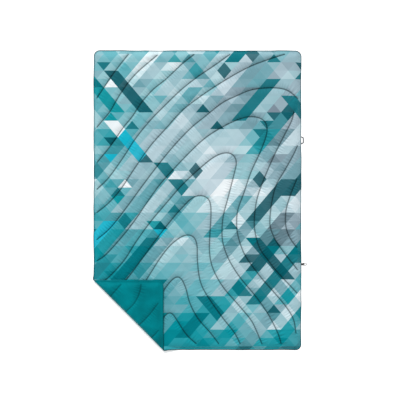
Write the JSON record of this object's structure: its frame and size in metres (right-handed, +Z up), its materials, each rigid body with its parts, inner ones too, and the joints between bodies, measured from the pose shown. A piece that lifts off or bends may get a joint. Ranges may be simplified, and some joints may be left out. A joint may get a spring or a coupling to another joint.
{
  "type": "camp blanket",
  "caption": "Quilted rectangular camp blanket with a printed face and a plain back, one corner turned over, and a webbing loop and sprung hook clip on one long edge.",
  "frame": {"origin": "middle of the blanket's underside, where it lies on the ground", "axes": "+X towards the long edge with the loop and the clip, +Y along the blanket away from the turned-over corner's end, +Z up through the printed face"},
  "size_m": [1.357, 1.905, 0.0493],
  "materials": {
    "face_cloth": "satin",
    "back_cloth": "satin",
    "batting": "matte",
    "sewing_thread": "matte",
    "webbing": "matte",
    "clip_moulding": "satin",
    "pin_steel": "satin"
  },
  "bodies": {
    "blanket": {"face_shell": "face_cloth", "batting": "batting", "back_shell": "back_cloth", "quilt_stitch_01": "sewing_thread", "quilt_stitch_02": "sewing_thread", "quilt_stitch_03": "sewing_thread", "quilt_stitch_04": "sewing_thread", "quilt_stitch_05": "sewing_thread", "quilt_stitch_06": "sewing_thread", "quilt_stitch_07": "sewing_thread", "quilt_stitch_08": "sewing_thread", "quilt_stitch_09": "sewing_thread", "quilt_stitch_10": "sewing_thread", "quilt_stitch_11": "sewing_thread", "quilt_stitch_12": "sewing_thread", "quilt_stitch_13": "sewing_thread", "quilt_stitch_14": "sewing_thread", "quilt_stitch_15": "sewing_thread", "hem_topstitch": "sewing_thread", "loop_tail_upper": "webbing", "loop_tail_lower": "webbing", "clip_tail": "webbing", "bartack_loop_upper": "sewing_thread", "bartack_loop_lower": "sewing_thread", "bartack_clip": "sewing_thread"},
    "corner": {"corner_face_shell": "face_cloth", "corner_batting": "batting", "corner_back_shell": "back_cloth", "corner_quilt_stitch_09": "sewing_thread", "corner_quilt_stitch_10": "sewing_thread", "corner_quilt_stitch_11": "sewing_thread", "corner_quilt_stitch_12": "sewing_thread", "corner_hem_topstitch": "sewing_thread"},
    "loop": {"loop_webbing": "webbing"},
    "clip_strap": {"strap_webbing": "webbing"},
    "clip": {"clip_body": "clip_moulding", "gate_pin": "pin_steel"},
    "gate": {"clip_gate": "clip_moulding"}
  },
  "joints": [
    {"name": "corner_fold", "type": "hinge", "parent": "blanket", "child": "corner", "pos_m": [-0.438, -0.73, 0.02465], "axis": [0.7071, -0.7071, 0], "range_deg": [0, 179.9]},
    {"name": "loop_swing", "type": "hinge", "parent": "blanket", "child": "loop", "pos_m": [0.6617, 0.381, 0.00165], "axis": [0, -1, 0], "range_deg": [-60, 90]},
    {"name": "strap_swing", "type": "hinge", "parent": "blanket", "child": "clip_strap", "pos_m": [0.6622, -0.407, 0.00265], "axis": [0, -1, 0], "range_deg": [-45, 75]},
    {"name": "clip_pivot", "type": "hinge", "parent": "clip_strap", "child": "clip", "pos_m": [0.67, -0.407, 0.00265], "axis": [0, -1, 0], "range_deg": [-60, 60]},
    {"name": "gate_swing", "type": "hinge", "parent": "clip", "child": "gate", "pos_m": [0.67646, -0.4011, 0.00265], "axis": [0, 0, -1], "range_deg": [0, 25], "stiffness_Nm_per_rad": 0.002, "springref_deg": -11.46}
  ]
}
